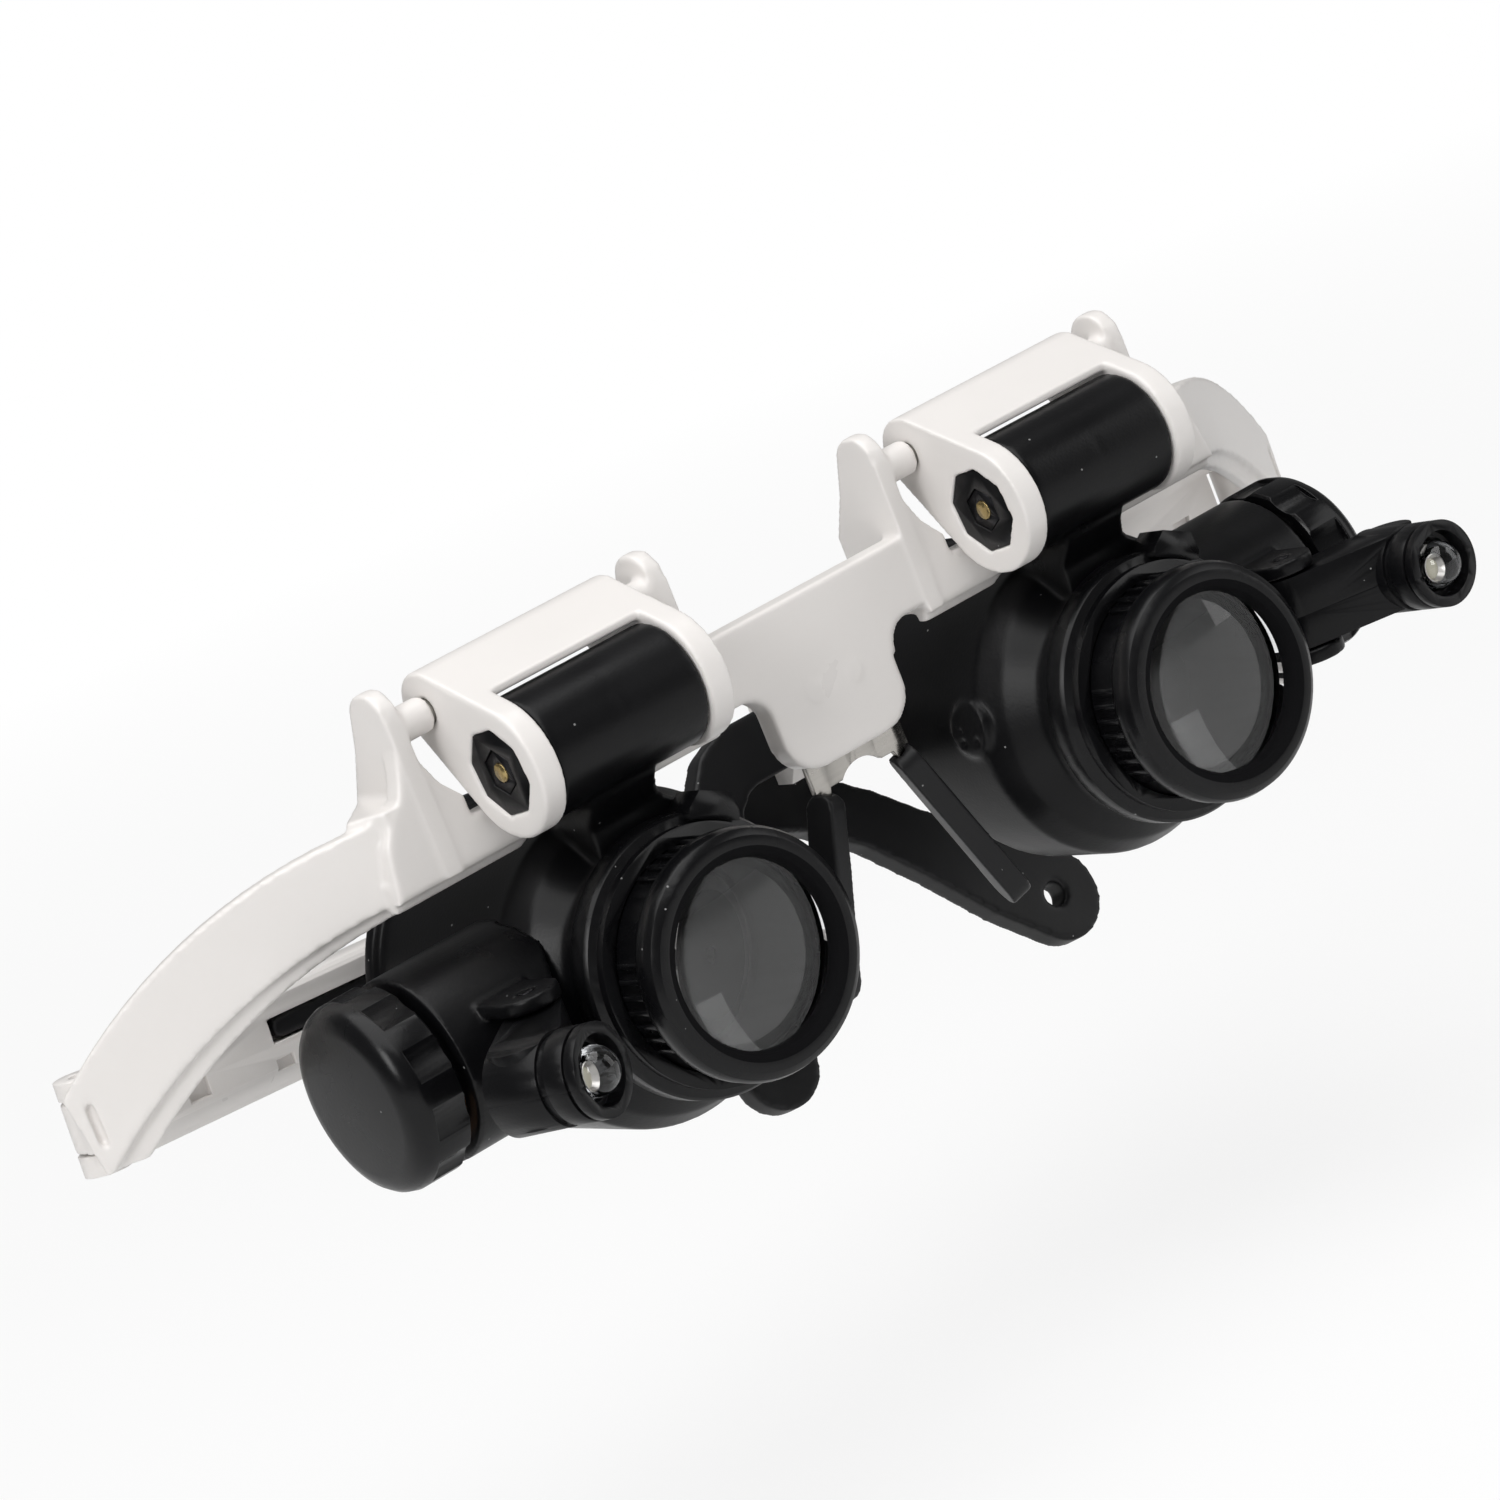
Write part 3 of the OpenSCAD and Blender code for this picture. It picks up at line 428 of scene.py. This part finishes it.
def finish(key):
    """Returns one of the object's finishes, made the first time it is asked for."""
    tints = colours()
    if key not in FINISHES:
        FINISHES[key] = {
            "white": lambda: plastic(
                "White Moulding", tints.white, shade=0.965, low=0.27, high=0.38,
                grain=2600.0, depth=0.1, coat=0.12),
            "black": lambda: plastic(
                "Black Satin Moulding", tints.black, shade=0.7, low=0.27, high=0.38,
                grain=3000.0, depth=0.3, specks=0.05, gleam=0.2),
            "matt": lambda: plastic(
                "Blackened Inside", tints.black, shade=0.7, low=0.75, high=0.9,
                grain=3000.0, depth=0.1, gleam=0.08),
            "black_gloss": lambda: plastic(
                "Black Ring Moulding", tints.black, shade=0.7, low=0.22, high=0.33,
                grain=2400.0, depth=0.2, specks=0.045, gleam=0.24),
            "rubber": lambda: plastic(
                "Soft Black Moulding", tints.rubber, shade=0.7, low=0.36, high=0.5,
                grain=2000.0, depth=0.25, specks=0.04, gleam=0.26),
            "metal": lambda: metal("Bright Plated Steel", tints.metal, low=0.2, high=0.34),
            "copper": lambda: metal("Contact Bronze", tints.copper, low=0.25, high=0.4),
            "glass": lambda: clear("Lens Glass", tints.glass),
            "resin": lambda: clear("Clear Resin", tints.resin),
            "dark_metal": lambda: metal("Aged Lead Frame", tints.lead_frame, low=0.3, high=0.42),
            "clip": lambda: metal("Sheet Steel", tints.clip, low=0.22, high=0.34),
            # painted shade: near-black steel on the tilt nuts and light pivot pins, standing in
            # for the shade of their pockets and slots
            "recess_shade": lambda: metal("Painted Recess Shade", tints.recess_shade, low=0.3, high=0.42),
            "brass": lambda: metal("Brass", tints.brass, low=0.2, high=0.32),
            "chip": lambda: plastic(
                "Light Chip", tints.chip, shade=0.8, low=0.3, high=0.45,
                grain=3000.0, depth=0.2),
            "red_wire": lambda: plastic(
                "Red Insulation", tints.red_wire, shade=0.7, low=0.35, high=0.5,
                grain=2600.0, depth=0.2),
        }[key]()
    return FINISHES[key]


# Meshes

def placed(name, data):
    """A new object in the scene."""
    piece = bpy.data.objects.new(name, data)
    bpy.context.scene.collection.objects.link(piece)
    return piece


def new_piece(mesh, name):
    """A new object on a finished mesh that was built corner by corner."""
    data = bpy.data.meshes.new(name)
    mesh.to_mesh(data)
    mesh.free()
    return placed(name, data)


def corners(node):
    """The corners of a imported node's mesh."""
    return [vertex.co for vertex in frame["nodes"][node].data.vertices]


def copy_of(node, name):
    """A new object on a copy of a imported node's mesh."""
    return placed(name, frame["nodes"][node].data.copy())


def body_of(node):
    """The body that a node moves with."""
    for body, nodes in frame["record"]["behaviour"]["bodies"].items():
        if node in nodes:
            return body
    raise RuntimeError("no body holds " + node)


def bake_shape(piece):
    """Applies the modifiers of a piece to its mesh."""
    graph = bpy.context.evaluated_depsgraph_get()
    mesh = bpy.data.meshes.new_from_object(piece.evaluated_get(graph))
    piece.modifiers.clear()
    old = piece.data
    piece.data = mesh
    bpy.data.meshes.remove(old)


def dress(piece, node, key):
    """Puts the finish on, sets the body and slot and stands the piece for its node."""
    piece.data.materials.clear()
    piece.data.materials.append(finish(key))
    for polygon in piece.data.polygons:
        polygon.use_smooth = True
        polygon.material_index = 0
    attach(piece, body_of(node))
    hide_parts(node)


def screw_line():
    """Middle x and z of each clip screw, and the depth of the face in front of them."""
    low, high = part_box("nose_clip_screws")
    height = (low[2] + high[2]) / 2
    middles = []
    for sign in (-1, 1):
        reach = [spot.x for spot in corners("nose_clip_screws") if spot.x * sign > 0]
        middles.append((min(reach) + max(reach)) / 2)
    return middles, height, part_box("frame_front")[0][1]


def moulded(node, key, edge, rounds, plugs=()):
    """A moulded piece: the node's form, with any plugs in its holes, remeshed finely and eased."""
    piece = copy_of(node, node + ".moulded")
    if plugs:
        mesh = bmesh.new()
        mesh.from_mesh(piece.data)
        for plug in plugs:
            mesh.from_mesh(plug.data)
            bpy.data.objects.remove(plug)
        mesh.to_mesh(piece.data)
        mesh.free()
    remesh = piece.modifiers.new("Remesh", "REMESH")
    remesh.mode = "VOXEL"
    remesh.voxel_size = edge
    ease = piece.modifiers.new("Ease", "SMOOTH")
    ease.factor = EASE
    ease.iterations = rounds
    thin = piece.modifiers.new("Thin", "DECIMATE")
    thin.ratio = FACES_KEPT
    bake_shape(piece)
    dress(piece, node, key)
    return piece


def turned(node, key, width, segments=2, angle=HARD_ANGLE):
    """A crisp piece: flat faces joined, then every hard edge given a small round."""
    piece = copy_of(node, node + ".turned")
    mesh = bmesh.new()
    mesh.from_mesh(piece.data)
    bmesh.ops.remove_doubles(mesh, verts=mesh.verts, dist=WELD)
    bmesh.ops.dissolve_limit(mesh, angle_limit=FLAT_ANGLE, verts=mesh.verts, edges=mesh.edges)
    mesh.to_mesh(piece.data)
    mesh.free()
    bevel = piece.modifiers.new("Bevel", "BEVEL")
    bevel.width = width
    bevel.segments = segments
    bevel.limit_method = "ANGLE"
    bevel.angle_limit = angle
    bevel.use_clamp_overlap = True
    bevel.harden_normals = True
    bake_shape(piece)
    dress(piece, node, key)
    return piece


def blacken(piece, side):
    """Gives the bore behind a lens its matt inside, round the axis of that side's front lens."""
    low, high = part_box("front_lens_" + side)
    axis_x, axis_z = (low[0] + high[0]) / 2, (low[2] + high[2]) / 2
    piece.data.materials.append(finish("matt"))
    for polygon in piece.data.polygons:
        out = Vector((polygon.center.x - axis_x, 0, polygon.center.z - axis_z))
        if out.length < BORE_R and polygon.normal.dot(out.normalized()) < INWARD:
            polygon.material_index = 1


def ring(mesh, centre_x, centre_z, radius, depth):
    """The corners of one circle of a lens."""
    return [mesh.verts.new((centre_x + radius * math.cos(turn * math.tau / LENS_SIDES), depth,
                            centre_z + radius * math.sin(turn * math.tau / LENS_SIDES)))
            for turn in range(LENS_SIDES)]


def band(mesh, first, second):
    """The faces between two loops of corners."""
    count = len(first)
    return [mesh.faces.new((first[i], first[(i + 1) % count], second[(i + 1) % count], second[i]))
            for i in range(count)]


def lens_face(reach, edge, apex):
    """Radius and depth of each circle of a spherical lens face, from its rim and middle depths."""
    sag = edge - apex
    radii = [reach * step / LENS_RINGS for step in range(1, LENS_RINGS + 1)]
    if abs(sag) < FLAT_SAG:
        return [(radius, edge) for radius in radii]
    ball = (reach * reach + sag * sag) / (2 * abs(sag))
    return [(radius, apex + math.copysign(ball - math.sqrt(ball * ball - radius * radius), sag))
            for radius in radii]


def ground(node, key):
    """A lens turned from its node's own measures: two spherical faces and a ground edge."""
    spots = corners(node)
    x0, x1 = min(p.x for p in spots), max(p.x for p in spots)
    z0, z1 = min(p.z for p in spots), max(p.z for p in spots)
    centre_x, centre_z, reach = (x0 + x1) / 2, (z0 + z1) / 2, (x1 - x0) / 2
    off_axis = [(math.hypot(p.x - centre_x, p.z - centre_z), p.y) for p in spots]
    rim = [depth for out, depth in off_axis if out > RIM_SHARE * reach]
    middle = [depth for out, depth in off_axis if out < MIDDLE_SHARE * reach]
    mesh = bmesh.new()
    outlines = []
    for pick in (min, max):
        apex = pick(middle)
        tip = mesh.verts.new((centre_x, apex, centre_z))
        loops = [ring(mesh, centre_x, centre_z, radius, depth)
                 for radius, depth in lens_face(reach, pick(rim), apex)]
        for i in range(LENS_SIDES):
            mesh.faces.new((tip, loops[0][i], loops[0][(i + 1) % LENS_SIDES]))
        for first, second in zip(loops, loops[1:]):
            band(mesh, first, second)
        outlines.append(loops[-1])
    for face in band(mesh, *outlines):
        for edge in face.edges:
            if any(set(edge.verts).issubset(outline) for outline in outlines):
                edge.smooth = False
    bmesh.ops.recalc_face_normals(mesh, faces=mesh.faces)
    piece = new_piece(mesh, node + ".ground")
    dress(piece, node, key)
    return piece


def lathe(name, profile, start, along):
    """A solid of revolution from (distance, radius) pairs in millimetres along an axis."""
    across = along.orthogonal().normalized()
    beside = along.cross(across)
    mesh = bmesh.new()
    loops = []
    for distance, radius in profile:
        loops.append([mesh.verts.new(
            start + along * distance * MM + radius * MM * (
                across * math.cos(i * math.tau / LATHE_SIDES)
                + beside * math.sin(i * math.tau / LATHE_SIDES)))
            for i in range(LATHE_SIDES)])
    for first, second in zip(loops, loops[1:]):
        band(mesh, first, second)
    for end in (loops[0], loops[-1]):
        mesh.faces.new(end)
    bmesh.ops.recalc_face_normals(mesh, faces=mesh.faces)
    for edge in mesh.edges:
        edge.smooth = edge.calc_face_angle(0) < LATHE_HARD_ANGLE
    return new_piece(mesh, name)


def tube(name, points, radius):
    """A smooth round wire through some points."""
    curve = bpy.data.curves.new(name, "CURVE")
    curve.dimensions = "3D"
    curve.bevel_depth = radius
    curve.bevel_resolution = WIRE_STEPS
    curve.use_fill_caps = True
    spline = curve.splines.new("BEZIER")
    spline.bezier_points.add(len(points) - 1)
    for knot, point in zip(spline.bezier_points, points):
        knot.co = point
        knot.handle_left_type = knot.handle_right_type = "AUTO"
    shape = placed(name + ".path", curve)
    graph = bpy.context.evaluated_depsgraph_get()
    mesh = bpy.data.meshes.new_from_object(shape.evaluated_get(graph))
    bpy.data.objects.remove(shape)
    return placed(name, mesh)


def light_line(side):
    """Front end of a light's two leads and the direction in which the light shines."""
    spots = corners("led_leads_" + side)
    middle = sum(p.y for p in spots) / len(spots)
    front = [p for p in spots if p.y < middle]
    rear = [p for p in spots if p.y >= middle]
    start = sum(front, Vector()) / len(front)
    return start, (start - sum(rear, Vector()) / len(rear)).normalized()


def extra(piece, node, key):
    """A small piece that no node stands for: it rides with the node's body."""
    piece.data.materials.append(finish(key))
    for polygon in piece.data.polygons:
        polygon.use_smooth = True
    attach(piece, body_of(node))


# Pieces

class LOUPE_OT_front(bpy.types.Operator):
    """Builds the white front with rounded edges"""

    bl_idname = "loupe.front"
    bl_label = "Frame Front"

    def execute(self, context):
        middles, height, face = screw_line()
        profile = ((0, PLUG_R), (PLUG_LEN, PLUG_R))
        plugs = [lathe("plug", profile, Vector((x, face, height)), Vector((0, 1, 0)))
                 for x in middles]
        moulded("frame_front", "white", sizes().frame_edge, sizes().soften, plugs=plugs)
        return {"FINISHED"}


class LOUPE_OT_brackets(bpy.types.Operator):
    """Builds the two flip-up brackets and their nut holders"""

    bl_idname = "loupe.brackets"
    bl_label = "Brackets"

    def execute(self, context):
        for side in SIDES:
            moulded("bracket_" + side, "white", BRACKET_VOXEL, sizes().soften)
            turned("nut_holder_" + side, "black", sizes().small_edge)
        return {"FINISHED"}


class LOUPE_OT_temples(bpy.types.Operator):
    """Builds the temple sleeves"""

    bl_idname = "loupe.temples"
    bl_label = "Temples"

    def execute(self, context):
        for side in SIDES:
            turned("temple_sleeve_" + side, "white", SLEEVE_ROUND, segments=3)
        return {"FINISHED"}


class LOUPE_OT_ear_tips(bpy.types.Operator):
    """Builds the sliding bars with their curved ear tips"""

    bl_idname = "loupe.ear_tips"
    bl_label = "Ear Tips"

    def execute(self, context):
        for side in SIDES:
            moulded("ear_tip_" + side, "rubber", EAR_TIP_VOXEL, sizes().soften)
        return {"FINISHED"}


class LOUPE_OT_nose_rest(bpy.types.Operator):
    """Builds the sheet clip, its screws and the two soft pads"""

    bl_idname = "loupe.nose_rest"
    bl_label = "Nose Rest"

    def execute(self, context):
        turned("nose_clip", "clip", sizes().small_edge, angle=BENT_SHEET_ANGLE)
        screws = turned("nose_clip_screws", "metal", sizes().small_edge)
        under_skin = screw_line()[2] + SCREW_SKIN
        for vertex in screws.data.vertices:
            vertex.co.y = max(vertex.co.y, under_skin)
        for side in SIDES:
            moulded("nose_pad_" + side, "rubber", NOSE_PAD_VOXEL, NOSE_PAD_ROUNDS)
        return {"FINISHED"}


class LOUPE_OT_barrels(bpy.types.Operator):
    """Builds the barrels with their hinge drums and rear retainers"""

    bl_idname = "loupe.barrels"
    bl_label = "Barrels"

    def execute(self, context):
        for side in SIDES:
            barrel = moulded("barrel_body_" + side, "black", sizes().barrel_edge, BARREL_ROUNDS)
            blacken(barrel, side)
            turned("rear_retainer_" + side, "black", sizes().ring_edge)
        return {"FINISHED"}


class LOUPE_OT_lens_cells(bpy.types.Operator):
    """Builds the lock rings, lens cells and front retainers"""

    bl_idname = "loupe.lens_cells"
    bl_label = "Lens Cells"

    def execute(self, context):
        for side in SIDES:
            turned("lock_ring_" + side, "black_gloss", sizes().ring_edge)
            blacken(turned("lens_cell_" + side, "black_gloss", CELL_ROUND), side)
            blacken(turned("lens_retainer_" + side, "black_gloss", sizes().ring_edge), side)
        return {"FINISHED"}


class LOUPE_OT_lenses(bpy.types.Operator):
    """Gives the four lenses their glass"""

    bl_idname = "loupe.lenses"
    bl_label = "Lenses"

    def execute(self, context):
        for side in SIDES:
            for place in ("front", "rear"):
                ground(f"{place}_lens_{side}", "glass")
        return {"FINISHED"}


class LOUPE_OT_battery_cases(bpy.types.Operator):
    """Builds the battery housings, caps, cells and contacts"""

    bl_idname = "loupe.battery_cases"
    bl_label = "Battery Cases"

    def execute(self, context):
        for side in SIDES:
            moulded("battery_housing_" + side, "black", sizes().barrel_edge, sizes().soften)
            turned("battery_cap_" + side, "black_gloss", CAP_ROUND, segments=3)
            turned("button_cells_" + side, "metal", BUTTON_ROUND)
            turned("contact_spring_" + side, "copper", CONTACT_ROUND)
            turned("contact_plate_" + side, "copper", CONTACT_ROUND)
            spots = corners("contact_plate_" + side)
            middle = (Vector(map(min, *spots)) + Vector(map(max, *spots))) / 2
            outward = -1 if side == "left" else 1
            bend = STRIP_BEND_R * MM
            strip = tube("contact_strip_" + side, [
                Vector((outward * STRIP_OUT * MM,
                        middle.y - bend * math.cos(math.radians(angle)),
                        middle.z - bend * math.sin(math.radians(angle))))
                for angle in STRIP_ANGLES], STRIP_R)
            extra(strip, "contact_plate_" + side, "copper")
        return {"FINISHED"}


class LOUPE_OT_lights(bpy.types.Operator):
    """Builds the light arms, their clear lights, leads and pivot pins"""

    bl_idname = "loupe.lights"
    bl_label = "Lights"

    def execute(self, context):
        up = Vector((0, 0, 1))
        for side in SIDES:
            turned("light_arm_top_" + side, "black", sizes().ring_edge)
            turned("light_arm_base_" + side, "black", sizes().ring_edge)
            turned("led_" + side, "resin", LIGHT_ROUND, angle=DOME_ANGLE)
            turned("led_leads_" + side, "metal", LEAD_ROUND)
            start, shine = light_line(side)
            for name, profile, lift, key, slot in (
                    ("cup", CUP, -CUP_DROP, "clip", "steel"),
                    ("chip", CHIP, -CUP_DROP, "chip", "led_epoxy"),
                    ("post", POST, POST_LIFT, "dark_metal", "steel"),
                    ("stem", STEM, -STEM_DROP, "dark_metal", "steel")):
                part = lathe(f"light_{name}_{side}", profile, start + up * lift, shine)
                extra(part, "led_leads_" + side, key)
            # painted shade: the pivot pin is near black to stand in for the shade in its recessed
            # slot
            turned("light_pivot_pin_" + side, "recess_shade", sizes().small_edge)
        start, shine = light_line("left")
        inward = up.cross(shine)
        wire = tube("light_wire_left", [
            start + (shine * (WIRE_START - back) + inward * inner + up * lift) * MM
            for back, inner, lift in WIRE_PATH], WIRE_R)
        extra(wire, "led_leads_left", "red_wire")
        return {"FINISHED"}


class LOUPE_OT_hardware(bpy.types.Operator):
    """Builds the screws, nuts and pins of the hinges"""

    bl_idname = "loupe.hardware"
    bl_label = "Hinge Hardware"

    def execute(self, context):
        turned("temple_hinge_pins", "metal", sizes().small_edge)
        turned("bracket_pivot_pins", "metal", sizes().small_edge)
        for side in SIDES:
            turned("tilt_screw_" + side, "brass", sizes().small_edge)
            # painted shade: the tilt nut is near black to stand in for the deep hex pocket it sits
            # in, whose walls are black plastic and whose depth lies in shade
            turned("tilt_nut_" + side, "recess_shade", sizes().small_edge)
        return {"FINISHED"}


# Stage

def area_light(name, place, size, power):
    """A soft white light that shines at the object."""
    lamp = bpy.data.lights.new(name, "AREA")
    lamp.shape = "RECTANGLE"
    lamp.size, lamp.size_y = size
    lamp.energy = power
    light = placed(name, lamp)
    light.location = place
    light.rotation_mode = "QUATERNION"
    light.rotation_quaternion = (LIGHT_AIM - Vector(place)).to_track_quat("-Z", "Y")


def seen_plainly(tree):
    """One for what the camera sees, straight or through glass, and nought for other light."""
    ray = add(tree, "ShaderNodeLightPath")
    return maths(tree, "MAXIMUM", ray.outputs["Is Camera Ray"], ray.outputs["Is Transmission Ray"])


def floor_material():
    """A pale floor that keeps the object's shadow and turns white further out."""
    material, tree, shader = blank("Pale Floor")
    place = add(tree, "ShaderNodeTexCoord")
    cloud = add(tree, "ShaderNodeTexNoise", [("Vector", place.outputs["Object"])], Scale=3.0)
    tone = add(tree, "ShaderNodeMix", [("Factor", cloud.outputs["Fac"])], data_type="RGBA")
    tone.inputs["A"].default_value = (*[FLOOR_DARK] * 3, 1)
    tone.inputs["B"].default_value = (*[FLOOR_PALE] * 3, 1)
    tree.links.new(tone.outputs["Result"], shader.inputs["Base Color"])
    shader.inputs["Roughness"].default_value = 0.9
    far = add(tree, "ShaderNodeVectorMath", [(0, place.outputs["Object"])], operation="LENGTH")
    fade = add(tree, "ShaderNodeMapRange", [("Value", far.outputs["Value"])],
               From_Min=0.25, From_Max=0.75, To_Min=0.8, To_Max=1.0)
    share = maths(tree, "MULTIPLY", seen_plainly(tree), fade.outputs["Result"])
    glow = add(tree, "ShaderNodeEmission", Strength=1.0)
    mix = add(tree, "ShaderNodeMixShader", [
        (0, share), (1, shader.outputs[0]), (2, glow.outputs[0])])
    tree.links.new(mix.outputs[0], tree.nodes["Material Output"].inputs["Surface"])
    return material


class LOUPE_OT_stage(bpy.types.Operator):
    """Builds the pale floor, the soft lights, the world and the camera"""

    bl_idname = "loupe.stage"
    bl_label = "Stage"

    def execute(self, context):
        scene = context.scene
        mesh = bpy.data.meshes.new("Floor")
        level = CAD_BOX[0].z - sizes().floor_drop
        mesh.from_pydata(
            [(x * FLOOR_REACH, y * FLOOR_REACH, level)
             for x, y in ((-1, -1), (1, -1), (1, 1), (-1, 1))], [], [(0, 1, 2, 3)])
        mesh.materials.append(floor_material())
        floor = placed("Floor", mesh)

        area_light("Overhead Softbox", place=(-0.1, -0.12, 0.75), size=(0.9, 0.9), power=6.6)
        area_light("Left Softbox", place=(-0.75, -0.4, 0.45), size=(0.3, 0.4), power=3.0)
        area_light("Right Softbox", place=(0.75, -0.45, 0.25), size=(0.5, 0.7), power=1.5)

        world = bpy.data.worlds.new("Studio")
        scene.world = world
        world.use_nodes = True
        tree = world.node_tree
        back = tree.nodes["Background"]
        strength = add(tree, "ShaderNodeMapRange", [("Value", seen_plainly(tree))],
                       To_Min=WORLD_LIGHT, To_Max=1.0)
        tree.links.new(strength.outputs["Result"], back.inputs["Strength"])
        back.inputs["Color"].default_value = (1, 1, 1, 1)

        scene.view_settings.view_transform = "Standard"
        data = bpy.data.cameras.new("Camera")
        data.sensor_width = SENSOR
        data.lens = LENS
        data.clip_start = NEAREST
        behind = CAMERA_RIGHT.cross(CAMERA_UP).normalized()
        turn = Matrix((CAMERA_RIGHT, behind.cross(CAMERA_RIGHT), behind)).transposed().to_4x4()
        turn.translation = CAMERA_PLACE
        camera = placed("Camera", data)
        camera.matrix_world = turn
        scene.camera = camera
        return {"FINISHED"}


class LOUPE_PT_panel(bpy.types.Panel):
    """Lists the loupe's pieces in the sidebar"""

    bl_idname = "LOUPE_PT_panel"
    bl_label = "Spectacle Loupe"
    bl_space_type = "VIEW_3D"
    bl_region_type = "UI"
    bl_category = "Loupe"

    def draw(self, context):
        for group in (context.scene.loupe_sizes, context.scene.loupe_colours):
            for name in group.__annotations__:
                self.layout.prop(group, name)
        for maker in MAKERS:
            self.layout.operator(maker.bl_idname)


MAKERS = (
    LOUPE_OT_stage, LOUPE_OT_front, LOUPE_OT_brackets, LOUPE_OT_temples, LOUPE_OT_ear_tips,
    LOUPE_OT_nose_rest, LOUPE_OT_barrels, LOUPE_OT_lens_cells, LOUPE_OT_lenses,
    LOUPE_OT_battery_cases, LOUPE_OT_lights, LOUPE_OT_hardware,
)
CLASSES = (LoupeSizes, LoupeColours, *MAKERS, LOUPE_PT_panel)


def register():
    for cls in CLASSES:
        bpy.utils.register_class(cls)
    bpy.types.Scene.loupe_sizes = PointerProperty(type=LoupeSizes)
    bpy.types.Scene.loupe_colours = PointerProperty(type=LoupeColours)


def unregister():
    del bpy.types.Scene.loupe_colours
    del bpy.types.Scene.loupe_sizes
    for cls in reversed(CLASSES):
        bpy.utils.unregister_class(cls)


def main():
    register()
    for maker in MAKERS:
        family, name = maker.bl_idname.split(".")
        getattr(getattr(bpy.ops, family), name)()


if __name__ == "__main__":
    main()
